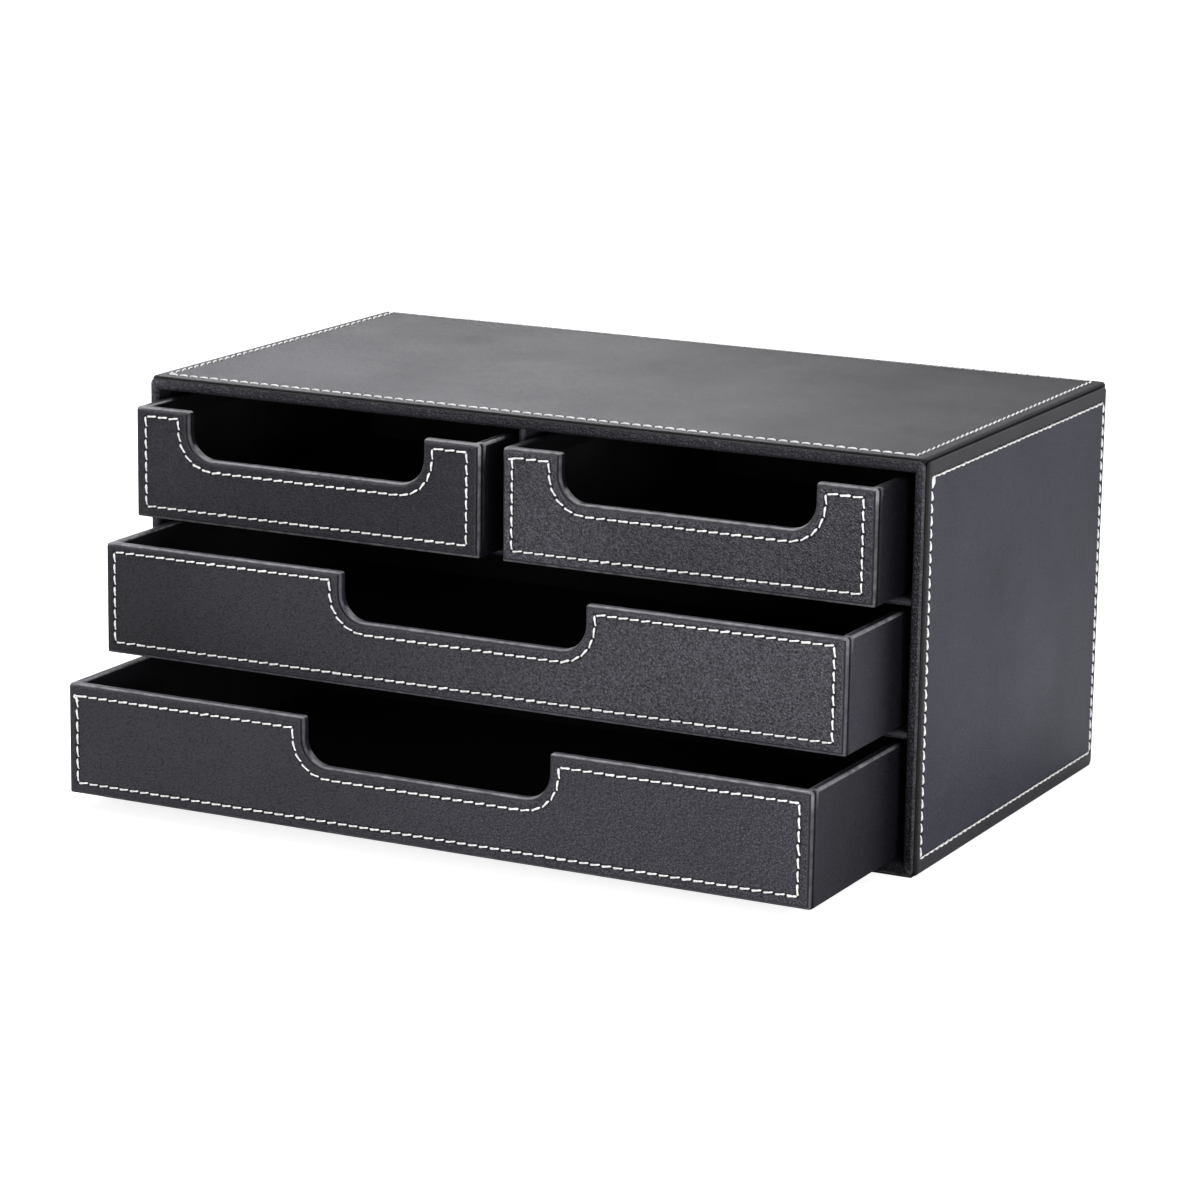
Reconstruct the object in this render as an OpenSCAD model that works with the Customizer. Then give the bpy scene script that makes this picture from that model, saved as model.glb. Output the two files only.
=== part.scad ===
// Desktop mini drawers: a leather-covered board case with two small drawers over two wide
// ones. Origin: centre of the case's footprint, on the table. The fronts face -Y, +Z is up.

/* [Case] */
// Width of the case, outside
case_w = 335; // [280:1:420]
// Depth of the case, outside
case_d = 190; // [150:1:260]
// Height of the case, outside
case_h = 160; // [135:1:220]
// Roundness of the case's edges and corners
case_r = 2; // [0.5:0.1:3]

/* [Boards] */
// Thickness of the left and right boards
side_board_t = 2.5; // [2:0.1:5]
// Thickness of the top board
top_board_t = 3.9; // [2:0.1:6]
// Thickness of the bottom board
bottom_board_t = 3.8; // [2:0.1:6]
// Thickness of the back board
back_board_t = 2.8; // [2:0.1:5]
// Thickness of the two shelves
shelf_board_t = 2; // [1.5:0.1:4]
// Thickness of the upright between the small drawers
divider_board_t = 2; // [1.5:0.1:4]

/* [Coverings] */
// Thickness of the stitched leather panels, with their turned hems
panel_t = 1; // [0.8:0.1:1.6]
// Thickness of the single leather that wraps edges and drawers
leather_t = 0.7; // [0.5:0.1:1.2]
// Thickness of the flock lining in the case and of the leather round its shelves
lining_t = 0.5; // [0.3:0.1:0.9]
// Thickness of the felt under the case
felt_t = 1; // [0.6:0.1:2]
// Depth to which the edge binding turns into the case
binding_turn_in = 8; // [4:0.5:14]
// Width of the edge binding that shows on the outside, in front of the side panels
binding_lip = 1.6; // [1:0.1:3]
// Roundness of the edge binding
binding_r = 0.6; // [0.2:0.1:0.8]
// Gap between a panel and the binding or the panel beside it
seam_gap = 0.2; // [0.1:0.05:0.5]
// Width of the groove between the top panel and the side panels
eave_gap = 0.8; // [0.2:0.1:1.5]
// Width of the leather flanges of the upright, under the top
flange_w = 8; // [4:0.5:16]
// Gap at the mitres where two runs of the binding meet
mitre_gap = 0.2; // [0.1:0.05:0.4]
// How far the shelves and the upright stand back from the front
shelf_setback = 1; // [0:0.1:4]

/* [Seams] */
// Width of the channel that a seam presses into a panel
channel_w = 1.5; // [0.8:0.1:2.5]
// Depth of that channel
channel_deep = 0.3; // [0.1:0.05:0.5]
// Distance of the seam from the left and right edges of the top panel
top_seam_in = 5.2; // [3:0.1:12]
// Distance of the seam from the front edge of the top panel
top_seam_front = 5.5; // [2.5:0.1:12]
// Distance of the seam from the rear edge of the top panel
top_seam_rear = 3; // [2.5:0.1:12]
// Distance of the seam from the front, top and lower edges of a side panel
side_seam_in = 6.3; // [4:0.1:14]
// Distance of the seam from the rear edge of a side panel
side_seam_rear = 4; // [3:0.1:14]
// Distance of the seam from the edges of a drawer's front panel
front_seam_in = 3.6; // [2.5:0.1:8]

/* [Drawers] */
// Gap between a drawer and the side wall of the case
side_gap = 4.5; // [0.5:0.1:6]
// Gap between a small drawer and the upright
middle_gap = 3.2; // [0.5:0.1:5]
// Gap over each drawer
top_gap = 2.7; // [1:0.1:8]
// Running gap under each drawer
running_gap = 0.3; // [0.2:0.05:1]
// Gap behind each drawer when it is shut
rear_gap = 0.5; // [0.3:0.1:5]
// Thickness of the boards of a drawer's front
front_board_t = 2.8; // [2:0.1:5]
// Thickness of the boards of a drawer's sides and rear
drawer_board_t = 2.8; // [2:0.1:5]
// Thickness of a drawer's floor board
floor_board_t = 2.4; // [1.5:0.1:4]
// Thickness of the flock lining in a drawer
drawer_lining_t = 0.7; // [0.5:0.1:1.5]
// Thickness of the cloth sheet under a drawer
base_sheet_t = 0.8; // [0.4:0.1:1.5]
// How far the cloth sheet stays in from the drawer's edges
base_sheet_in = 2.5; // [1:0.5:10]
// Step from the edge of a drawer's front to its stitched panel
panel_in = 0.9; // [0.5:0.1:2]
// Depth to which the leather turns down inside a drawer
rim_turn_in = 7; // [4:0.5:12]
// Width of the leather turned onto the back of a front, round its edges
rim_fold_w = 5; // [2:0.5:8]
// Roundness of the leather along a drawer's rim
rim_r = 1.2; // [0.5:0.1:1.8]

/* [Finger notches] */
// Width of the finger notch in each front
notch_w = 105; // [60:1:110]
// Depth of the finger notch
notch_deep = 18.5; // [10:0.5:24]
// Radius of the notch's lower corners
notch_r = 10.5; // [5:0.5:12]

/* [Pulled out] */
// How far the upper left drawer stands open
open_top_left = 24.5; // [0:0.5:120]
// How far the upper right drawer stands open
open_top_right = 23.6; // [0:0.1:120]
// How far the middle drawer stands open
open_middle = 46.9; // [0:0.1:120]
// How far the bottom drawer stands open
open_bottom = 74.3; // [0:0.1:120]

/* [Hidden] */

leather_colour = [0.13, 0.13, 0.14];
binding_colour = [0.10, 0.10, 0.11];
lining_colour = [0.04, 0.04, 0.045];
board_colour = [0.30, 0.28, 0.26];
felt_colour = [0.06, 0.06, 0.06];

$fn = 48;
over = 1; // overshoot of a cut past the face that it opens

// the case, from the outside in
side_wall = panel_t + side_board_t + lining_t;
top_wall = panel_t + top_board_t + lining_t;
bottom_wall = felt_t + bottom_board_t + lining_t;
back_wall = panel_t + back_board_t + lining_t;
front_y = -case_d / 2;
rear_y = case_d / 2;
half_w = case_w / 2;
inner_half_w = half_w - side_wall;
board_half_w = half_w - panel_t;
board_front_y = front_y + leather_t;
lining_front_y = board_front_y + binding_turn_in;
inner_rear_y = rear_y - back_wall;
shelf_t = shelf_board_t + 2 * lining_t;
divider_t = divider_board_t + 2 * lining_t;
bay_h = (case_h - top_wall - bottom_wall - 2 * shelf_t) / 3;
shelf_pitch = bay_h + shelf_t;
shelf_front_y = front_y + shelf_setback;
lower_shelf_z = bottom_wall + bay_h;
upper_shelf_z = lower_shelf_z + shelf_pitch;
binding_low_z = seam_gap; // the binding stays clear of the table
binding_high_z = case_h - panel_t - seam_gap; // and of the top panel, which lies over it
top_binding_h = top_board_t + lining_t - seam_gap;
bottom_binding_h = bottom_wall - binding_low_z;
panel_front_y = front_y + binding_lip + seam_gap;

// the drawers; each one's own frame starts at the middle of its front's lower edge
wide_w = 2 * (inner_half_w - side_gap);
small_w = inner_half_w - divider_t / 2 - side_gap - middle_gap;
drawer_lift = running_gap + base_sheet_t;
drawer_h = bay_h - drawer_lift - top_gap;
drawer_d = inner_rear_y - rear_gap - front_y;
small_x = divider_t / 2 + middle_gap + small_w / 2;
wrap_front_y = panel_t;
front_board_y = wrap_front_y + leather_t;
front_back_y = front_board_y + front_board_t;
inner_front_y = front_back_y + drawer_lining_t;
side_t = leather_t + drawer_board_t + drawer_lining_t;
board_rear_y = drawer_d - leather_t;
rim_underside_z = drawer_h - leather_t;
lining_top_z = rim_underside_z - rim_turn_in;

// one entry per drawer: centre x, bottom z, width, how far it stands open
TOP_LEFT = [-small_x, upper_shelf_z + shelf_t + drawer_lift, small_w, open_top_left];
TOP_RIGHT = [small_x, upper_shelf_z + shelf_t + drawer_lift, small_w, open_top_right];
MIDDLE = [0, lower_shelf_z + shelf_t + drawer_lift, wide_w, open_middle];
BOTTOM = [0, bottom_wall + drawer_lift, wide_w, open_bottom];

// ---------------------------------------------------------------- shared shapes

// a box from one corner to the opposite one
module block(low, high) {
    translate(low) cube(high - low);
}

// a rectangle with rounded corners, from one corner to the opposite one
module rounded(low, high, r) {
    if (r < 0.1) {
        translate(low) square(high - low);
    } else {
        translate(low + [r, 0]) square(high - low - [2 * r, 0]);
        translate(low + [0, r]) square(high - low - [0, 2 * r]);
        for (x = [low[0] + r, high[0] - r], z = [low[1] + r, high[1] - r])
            translate([x, z]) circle(r);
    }
}

// what an outline drawn in x and z sweeps out between two depths
module plate(near_y, far_y) {
    translate([0, far_y, 0]) rotate([90, 0, 0]) linear_extrude(far_y - near_y) children();
}

// a sheet lying flat: an outline in x and y between two heights
module sheet(low_z, high_z) {
    translate([0, 0, low_z]) linear_extrude(high_z - low_z) children();
}

// a sheet standing on a side: an outline in y and z between two places along x
module side_sheet(low_x, high_x) {
    translate([low_x, 0, 0]) rotate([90, 0, 90]) linear_extrude(high_x - low_x) children();
}

// a ring between two outlines, the first drawn larger than the second
module ring() {
    difference() {
        children(0);
        children(1);
    }
}

// what lies within the rounded edges of the case; low_z is where its lower corners start
module in_case(low_z) {
    intersection() {
        children();
        sheet(-over, case_h + over)
            rounded([-half_w, front_y - case_r], [half_w, rear_y], case_r);
        plate(front_y - over, rear_y + over)
            rounded([-half_w, low_z], [half_w, case_h], case_r);
        side_sheet(-half_w - over, half_w + over)
            rounded([front_y - case_r, -case_r], [rear_y, case_h], case_r);
    }
}

// ---------------------------------------------------------------- case boards

module case_top_board() {
    color(board_colour)
        block([-board_half_w, board_front_y, case_h - panel_t - top_board_t],
              [board_half_w, rear_y - panel_t, case_h - panel_t]);
}

module case_bottom_board() {
    color(board_colour)
        block([-board_half_w, board_front_y, felt_t],
              [board_half_w, rear_y - panel_t, felt_t + bottom_board_t]);
}

// the right one for side = 1, the left one for side = -1
module case_side_board(side) {
    color(board_colour)
        translate([side * (board_half_w - side_board_t / 2), 0, 0])
            block([-side_board_t / 2, board_front_y, felt_t + bottom_board_t],
                  [side_board_t / 2, rear_y - panel_t, case_h - panel_t - top_board_t]);
}

module case_back_board() {
    color(board_colour)
        block([-board_half_w + side_board_t, rear_y - panel_t - back_board_t,
               felt_t + bottom_board_t],
              [board_half_w - side_board_t, rear_y - panel_t,
               case_h - panel_t - top_board_t]);
}

module shelf(low_z) {
    color(board_colour)
        block([-inner_half_w, shelf_front_y + lining_t, low_z + lining_t],
              [inner_half_w, inner_rear_y, low_z + lining_t + shelf_board_t]);
}

module centre_divider() {
    color(board_colour)
        block([-divider_board_t / 2, shelf_front_y + lining_t, upper_shelf_z + shelf_t],
              [divider_board_t / 2, inner_rear_y, case_h - top_wall]);
}

// ---------------------------------------------------------------- case coverings

// the seam of the top panel lies closer to its front and rear edges than to the others
module top_outline(inset, front_inset, rear_inset) {
    rounded([-half_w + inset, front_y + front_inset],
            [half_w - inset, rear_y - rear_inset], max(panel_t - inset, 0));
}

module top_cover() {
    half = channel_w / 2;
    color(leather_colour)
        in_case(-case_r)
            difference() {
                sheet(case_h - panel_t, case_h) top_outline(0, 0, 0);
                sheet(case_h - channel_deep, case_h + over)
                    ring() {
                        top_outline(top_seam_in - half, top_seam_front - half,
                                    top_seam_rear - half);
                        top_outline(top_seam_in + half, top_seam_front + half,
                                    top_seam_rear + half);
                    }
            }
}

// the seam of a side panel lies closer to its rear edge than to the others
module side_outline(inset, rear_inset) {
    rounded([panel_front_y + inset, seam_gap + inset],
            [rear_y - rear_inset, case_h - panel_t - eave_gap - inset],
            max(panel_t - inset, 0));
}

module side_cover(side) {
    outer = half_w;
    color(leather_colour)
        in_case(-case_r)
            mirror([side < 0 ? 1 : 0, 0, 0])
                difference() {
                    side_sheet(outer - panel_t, outer) side_outline(0, 0);
                    side_sheet(outer - channel_deep, outer + over)
                        ring() {
                            side_outline(side_seam_in - channel_w / 2,
                                         side_seam_rear - channel_w / 2);
                            side_outline(side_seam_in + channel_w / 2,
                                         side_seam_rear + channel_w / 2);
                        }
                }
}

module back_cover() {
    color(leather_colour)
        in_case(-case_r)
            block([-board_half_w, rear_y - panel_t, felt_t],
                  [board_half_w, rear_y, case_h - panel_t]);
}

// the leather over one front edge: u runs in from the outside of the wall, v back from the
// front; outer, board and inner are the thicknesses that lie under its three sides
module edge_profile(outer, board, inner) {
    difference() {
        union() {
            rounded([0, 0], [outer + board + inner, binding_lip], binding_r);
            translate([outer + board, binding_r])
                square([inner, leather_t + binding_turn_in - binding_r]);
        }
        translate([outer, leather_t]) square([board, binding_turn_in + over]);
    }
}

// one run of the binding, length long, cut to a mitre at both ends; run_in and run_out are
// how far the mitre draws back over the depth of the wall
module mitred_run(length, wall, run_in, run_out) {
    gap = mitre_gap / 2;
    intersection() {
        rotate([90, 0, 90]) linear_extrude(length) children();
        linear_extrude(2 * (binding_turn_in + over), center = true)
            polygon([[gap, 0], [length - gap, 0],
                     [length - run_out - gap, wall], [run_in + gap, wall]]);
    }
}

// laid along +x with u pointing down
module top_binding() {
    color(binding_colour)
        in_case(binding_low_z)
            translate([-half_w, front_y, binding_high_z]) rotate([-90, 0, 0])
                mitred_run(case_w, top_binding_h, side_wall, side_wall)
                    edge_profile(0, top_board_t - seam_gap, lining_t);
}

// laid along +x with u pointing up
module bottom_binding() {
    color(binding_colour)
        in_case(binding_low_z)
            translate([-half_w, front_y, binding_low_z])
                mirror([0, 0, 1]) rotate([-90, 0, 0])
                    mitred_run(case_w, bottom_binding_h, side_wall, side_wall)
                        edge_profile(felt_t - binding_low_z, bottom_board_t, lining_t);
}

// laid along +z with u pointing to the middle; the right one for side = 1
module side_binding(side) {
    color(binding_colour)
        in_case(binding_low_z)
            mirror([side > 0 ? 1 : 0, 0, 0])
                translate([-half_w, front_y, binding_low_z])
                    rotate([90, 0, 90]) rotate([90, 0, 90])
                        mitred_run(binding_high_z - binding_low_z, side_wall,
                                   bottom_binding_h, top_binding_h)
                            edge_profile(panel_t, side_board_t, lining_t);
}

module case_lining() {
    color(lining_colour)
        difference() {
            block([-inner_half_w - lining_t, lining_front_y, bottom_wall - lining_t],
                  [inner_half_w + lining_t, inner_rear_y + lining_t,
                   case_h - top_wall + lining_t]);
            block([-inner_half_w, lining_front_y - over, bottom_wall],
                  [inner_half_w, inner_rear_y, case_h - top_wall]);
        }
}

// leather round a board of the given thickness, open at the rear: drawn in y and across it
module board_wrap_profile(board_t) {
    nose = board_t / 2 + lining_t;
    depth = inner_rear_y - shelf_front_y;
    difference() {
        union() {
            translate([nose, -nose]) square([depth - nose, 2 * nose]);
            translate([nose, 0]) circle(nose);
        }
        translate([lining_t, -board_t / 2]) square([depth, board_t]);
    }
}

module shelf_wrap(low_z) {
    color(binding_colour)
        translate([-inner_half_w, shelf_front_y, low_z + shelf_t / 2])
            rotate([90, 0, 90]) linear_extrude(2 * inner_half_w)
                board_wrap_profile(shelf_board_t);
}

// the leather of the upright, with a flange to each side under the top
module divider_wrap() {
    ceiling_z = case_h - top_wall;
    color(binding_colour) {
        translate([0, shelf_front_y, upper_shelf_z + shelf_t])
            linear_extrude(bay_h)
                rotate(90) board_wrap_profile(divider_board_t);
        for (side = [0, 1])
            mirror([side, 0, 0])
                block([divider_board_t / 2, shelf_front_y + divider_t / 2,
                       ceiling_z - lining_t],
                      [flange_w / 2, inner_rear_y, ceiling_z]);
    }
}

module base_felt() {
    color(felt_colour)
        block([-board_half_w, panel_front_y, 0], [board_half_w, rear_y - panel_t, felt_t]);
}

// ---------------------------------------------------------------- drawers

// puts a drawer's own frame where that drawer stands
module in_place(drawer) {
    translate([drawer[0], front_y - drawer[3], drawer[1]]) children();
}

// the outline of a drawer's front with its finger notch, drawn smaller all round by inset;
// foot is how far its lower edge moves up
module front_outline(drawer, inset, foot) {
    w = drawer[2];
    half_notch = notch_w / 2 + inset;
    r = notch_r + inset;
    floor_z = drawer_h - notch_deep - inset;
    difference() {
        rounded([-w / 2 + inset, foot], [w / 2 - inset, drawer_h - inset],
                max(rim_r - inset, 0));
        translate([-half_notch + r, floor_z])
            square([2 * (half_notch - r), drawer_h - floor_z + over]);
        translate([-half_notch, floor_z + r])
            square([2 * half_notch, drawer_h - floor_z - r + over]);
        for (side = [-1, 1])
            translate([side * (half_notch - r), floor_z + r]) circle(r);
    }
}

module front_board(drawer) {
    color(board_colour) in_place(drawer)
        plate(front_board_y, front_back_y) front_outline(drawer, leather_t, leather_t);
}

module front_panel(drawer) {
    seam = panel_in + front_seam_in;
    color(leather_colour) in_place(drawer)
        difference() {
            plate(0, panel_t) front_outline(drawer, panel_in, panel_in);
            plate(-over, channel_deep)
                ring() {
                    front_outline(drawer, seam - channel_w / 2, seam - channel_w / 2);
                    front_outline(drawer, seam + channel_w / 2, seam + channel_w / 2);
                }
        }
}

// the right one for side = 1, the left one for side = -1
module side_board(drawer, side) {
    middle = drawer[2] / 2 - leather_t - drawer_board_t / 2;
    color(board_colour) in_place(drawer)
        translate([side * middle, 0, 0])
            block([-drawer_board_t / 2, front_back_y, 0],
                  [drawer_board_t / 2, board_rear_y, rim_underside_z]);
}

module rear_wall(drawer) {
    half = drawer[2] / 2 - leather_t - drawer_board_t;
    color(board_colour) in_place(drawer)
        block([-half, board_rear_y - drawer_board_t, 0], [half, board_rear_y, rim_underside_z]);
}

module floor_board(drawer) {
    half = drawer[2] / 2 - leather_t - drawer_board_t;
    color(board_colour) in_place(drawer)
        block([-half, front_back_y, 0], [half, board_rear_y - drawer_board_t, floor_board_t]);
}

// the leather over a drawer's wall, a hook in section: u runs in from the outside
module rim_profile() {
    difference() {
        union() {
            rounded([0, lining_top_z], [side_t, drawer_h], rim_r);
            square([leather_t, drawer_h - rim_r]);
            translate([side_t - drawer_lining_t, lining_top_z])
                square([drawer_lining_t, drawer_h - rim_r - lining_top_z]);
        }
        translate([leather_t, -over]) square([drawer_board_t, rim_underside_z + over]);
    }
}

// the leather round the front board: a tray open to the rear, with its edges turned in
module front_wrap(drawer) {
    half = drawer[2] / 2 - side_t;
    difference() {
        plate(wrap_front_y, front_back_y) front_outline(drawer, 0, 0);
        plate(front_board_y, front_back_y + over) front_outline(drawer, leather_t, leather_t);
    }
    intersection() {
        plate(front_back_y, inner_front_y)
            ring() {
                front_outline(drawer, 0, 0);
                front_outline(drawer, leather_t + rim_fold_w, 0);
            }
        block([-half, 0, floor_board_t + drawer_lining_t], [half, drawer_d, drawer_h]);
    }
}

module wrap(drawer) {
    w = drawer[2];
    color(leather_colour) in_place(drawer) {
        front_wrap(drawer);
        for (side = [0, 1])
            mirror([side, 0, 0])
                intersection() {
                    translate([-w / 2, drawer_d, 0]) rotate([90, 0, 0])
                        linear_extrude(drawer_d - front_back_y) rim_profile();
                    linear_extrude(drawer_h)
                        polygon([[-w / 2, 0], [-w / 2, drawer_d],
                                 [-w / 2 + side_t, drawer_d - side_t],
                                 [-w / 2 + side_t, 0]]);
                }
        intersection() {
            translate([w / 2, drawer_d, 0]) rotate([90, 0, -90])
                linear_extrude(w) rim_profile();
            linear_extrude(drawer_h)
                polygon([[-w / 2, drawer_d], [w / 2, drawer_d],
                         [w / 2 - side_t, drawer_d - side_t],
                         [-w / 2 + side_t, drawer_d - side_t]]);
        }
    }
}

module lining(drawer) {
    half = drawer[2] / 2 - leather_t - drawer_board_t;
    rear = board_rear_y - drawer_board_t;
    color(lining_colour) in_place(drawer) {
        difference() {
            block([-half, front_back_y, floor_board_t], [half, rear, lining_top_z]);
            block([-half + drawer_lining_t, front_back_y - over,
                   floor_board_t + drawer_lining_t],
                  [half - drawer_lining_t, rear - drawer_lining_t, drawer_h]);
        }
        intersection() {
            plate(front_back_y, inner_front_y)
                front_outline(drawer, leather_t + rim_fold_w, 0);
            block([-half + drawer_lining_t, 0, floor_board_t],
                  [half - drawer_lining_t, drawer_d, drawer_h]);
        }
    }
}

module base_sheet(drawer) {
    half = drawer[2] / 2 - base_sheet_in;
    color(felt_colour) in_place(drawer)
        block([-half, front_board_y + base_sheet_in, -base_sheet_t],
              [half, drawer_d - base_sheet_in, 0]);
}

// ---------------------------------------------------------------- nodes

case_top_board();
case_bottom_board();
case_side_board(-1);  // case_left_board
case_side_board(1);  // case_right_board
case_back_board();
shelf(upper_shelf_z);  // upper_shelf
shelf(lower_shelf_z);  // lower_shelf
centre_divider();
top_cover();
side_cover(-1);  // left_cover
side_cover(1);  // right_cover
back_cover();
top_binding();
bottom_binding();
side_binding(-1);  // left_binding
side_binding(1);  // right_binding
case_lining();
shelf_wrap(upper_shelf_z);  // upper_shelf_wrap
shelf_wrap(lower_shelf_z);  // lower_shelf_wrap
divider_wrap();
base_felt();

front_board(TOP_LEFT);  // top_left_front_board
front_panel(TOP_LEFT);  // top_left_front_panel
side_board(TOP_LEFT, -1);  // top_left_left_side
side_board(TOP_LEFT, 1);  // top_left_right_side
rear_wall(TOP_LEFT);  // top_left_rear_wall
floor_board(TOP_LEFT);  // top_left_floor_board
wrap(TOP_LEFT);  // top_left_wrap
lining(TOP_LEFT);  // top_left_lining
base_sheet(TOP_LEFT);  // top_left_base_sheet

front_board(TOP_RIGHT);  // top_right_front_board
front_panel(TOP_RIGHT);  // top_right_front_panel
side_board(TOP_RIGHT, -1);  // top_right_left_side
side_board(TOP_RIGHT, 1);  // top_right_right_side
rear_wall(TOP_RIGHT);  // top_right_rear_wall
floor_board(TOP_RIGHT);  // top_right_floor_board
wrap(TOP_RIGHT);  // top_right_wrap
lining(TOP_RIGHT);  // top_right_lining
base_sheet(TOP_RIGHT);  // top_right_base_sheet

front_board(MIDDLE);  // middle_front_board
front_panel(MIDDLE);  // middle_front_panel
side_board(MIDDLE, -1);  // middle_left_side
side_board(MIDDLE, 1);  // middle_right_side
rear_wall(MIDDLE);  // middle_rear_wall
floor_board(MIDDLE);  // middle_floor_board
wrap(MIDDLE);  // middle_wrap
lining(MIDDLE);  // middle_lining
base_sheet(MIDDLE);  // middle_base_sheet

front_board(BOTTOM);  // bottom_front_board
front_panel(BOTTOM);  // bottom_front_panel
side_board(BOTTOM, -1);  // bottom_left_side
side_board(BOTTOM, 1);  // bottom_right_side
rear_wall(BOTTOM);  // bottom_rear_wall
floor_board(BOTTOM);  // bottom_floor_board
wrap(BOTTOM);  // bottom_wrap
lining(BOTTOM);  // bottom_lining
base_sheet(BOTTOM);  // bottom_base_sheet
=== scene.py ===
import math
import random

import bmesh
import bpy
from mathutils import Euler, Matrix, Vector


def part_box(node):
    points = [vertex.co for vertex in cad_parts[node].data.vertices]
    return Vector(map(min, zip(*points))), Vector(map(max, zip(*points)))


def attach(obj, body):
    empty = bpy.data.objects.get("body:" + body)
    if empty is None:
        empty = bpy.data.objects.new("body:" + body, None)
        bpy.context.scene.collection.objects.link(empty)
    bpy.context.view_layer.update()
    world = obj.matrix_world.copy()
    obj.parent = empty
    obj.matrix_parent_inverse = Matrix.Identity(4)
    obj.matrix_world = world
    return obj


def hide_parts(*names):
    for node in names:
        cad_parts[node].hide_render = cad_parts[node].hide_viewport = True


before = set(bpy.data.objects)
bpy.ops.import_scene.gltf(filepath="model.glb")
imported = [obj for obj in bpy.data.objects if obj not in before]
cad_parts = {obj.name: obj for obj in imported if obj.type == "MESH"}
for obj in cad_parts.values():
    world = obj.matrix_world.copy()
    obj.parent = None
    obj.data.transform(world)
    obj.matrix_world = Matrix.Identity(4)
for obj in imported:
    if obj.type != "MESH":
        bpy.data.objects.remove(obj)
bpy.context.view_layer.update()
mm = 0.001
slack = 0.02    # places this many millimetres apart count as the same
chance = random.Random(7)
drawerNames = ("top_left", "top_right", "middle", "bottom")
print("frame loaded:", len(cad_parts), "nodes")


# ---- small helpers for edit mode

def makeActive(piece):
    if bpy.context.object and bpy.context.object.mode != "OBJECT":
        bpy.ops.object.mode_set(mode="OBJECT")
    bpy.ops.object.select_all(action="DESELECT")
    if piece:
        piece.select_set(True)
        bpy.context.view_layer.objects.active = piece


def startEdit(piece):
    makeActive(piece)
    bpy.ops.object.mode_set(mode="EDIT")


def endEdit():
    bpy.ops.object.mode_set(mode="OBJECT")


def selectAll():
    bpy.ops.mesh.select_all(action="SELECT")


def middleOf(part):
    if isinstance(part, bmesh.types.BMVert):
        return part.co
    return sum((v.co for v in part.verts), Vector()) / len(part.verts)


def pick(piece, kind, test):
    # selects what passes the test, which gets the part and its middle in millimetres
    bpy.ops.mesh.select_mode(type=kind)
    bpy.ops.mesh.select_all(action="DESELECT")
    mesh = bmesh.from_edit_mesh(piece.data)
    parts = {"VERT": mesh.verts, "EDGE": mesh.edges, "FACE": mesh.faces}[kind]
    for part in parts:
        if test(part, middleOf(part) / mm):
            part.select_set(True)
    mesh.select_flush_mode()
    bmesh.update_edit_mesh(piece.data)


def near(a, b, miss=slack):
    return abs(a - b) < miss


def runsAlong(edge, axis):
    way = edge.verts[1].co - edge.verts[0].co
    return way.length > 0 and abs(way[axis]) > 0.9999 * way.length


# these move, draw out or cut what is selected; places and ways are in millimetres

def moveBy(x, y, z):
    bpy.ops.transform.translate(value=(x * mm, y * mm, z * mm))


def extrudeFaces(x, y, z):
    bpy.ops.mesh.extrude_region_move(TRANSFORM_OT_translate={"value": (x * mm, y * mm, z * mm)})


def extrudeEdges(x, y, z):
    bpy.ops.mesh.extrude_edges_move(TRANSFORM_OT_translate={"value": (x * mm, y * mm, z * mm)})


def cutAt(place, across, miss=0.1, clearOuter=False):
    bpy.ops.mesh.bisect(plane_co=[p * mm for p in place], plane_no=across,
                        clear_outer=clearOuter, threshold=miss * mm)


def startPlane(name, width, height):
    makeActive(None)
    bpy.ops.mesh.primitive_plane_add(size=1)
    piece = bpy.context.object
    piece.name = piece.data.name = name
    piece.scale = (width * mm, height * mm, 1)
    bpy.ops.object.transform_apply(location=False, rotation=False, scale=True)
    return piece


def applyModifier(piece, kind, **settings):
    makeActive(piece)
    modifier = piece.modifiers.new(kind, kind)
    for label, value in settings.items():
        setattr(modifier, label, value)
    bpy.ops.object.modifier_apply(modifier=modifier.name)


def smoothShade(piece, angle=40):
    makeActive(piece)
    bpy.ops.object.shade_smooth_by_angle(angle=math.radians(angle), keep_sharp_edges=False)
    applyModifier(piece, "WEIGHTED_NORMAL", keep_sharp=True)


def putInPlace(piece, place, turn=(0, 0, 0)):
    makeActive(piece)
    piece.rotation_euler = [math.radians(a) for a in turn]
    piece.location = place
    bpy.ops.object.transform_apply(location=True, rotation=True, scale=True)


def mergeDoubles(miss):
    selectAll()
    bpy.ops.mesh.remove_doubles(threshold=miss * mm)


def frontFacesUp(piece):
    # turns all faces outwards on an open piece whose front lies uppermost
    selectAll()
    bpy.ops.mesh.normals_make_consistent(inside=False)
    mesh = bmesh.from_edit_mesh(piece.data)
    if max(mesh.faces, key=lambda f: f.calc_center_median().z).normal.z < 0:
        bpy.ops.mesh.flip_normals()


# ---- flat outlines with a finger notch, made lying down with the normal up

notchShape = {"width": 105, "deep": 18.5, "radius": 10.5, "segments": 10}


def cutOutline(name, width, height, notch=None):
    piece = startPlane(name, width, height)
    if not notch:
        startEdit(piece)
        return piece
    half, floorY = notch["width"] / 2, height / 2 - notch["deep"]
    startEdit(piece)
    for place, across in (((-half, 0, 0), (1, 0, 0)), ((half, 0, 0), (1, 0, 0)),
                          ((0, floorY, 0), (0, 1, 0))):
        selectAll()
        cutAt(place, across)
    pick(piece, "FACE", lambda f, m: abs(m.x) < half and m.y > floorY)
    bpy.ops.mesh.delete(type="FACE")
    selectAll()
    bpy.ops.mesh.dissolve_limited(angle_limit=0.01)
    pick(piece, "VERT", lambda v, m: near(abs(m.x), half) and near(m.y, floorY))
    bpy.ops.mesh.bevel(offset=notch["radius"] * mm, segments=notch["segments"],
                       affect="VERTICES")
    return piece


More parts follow.
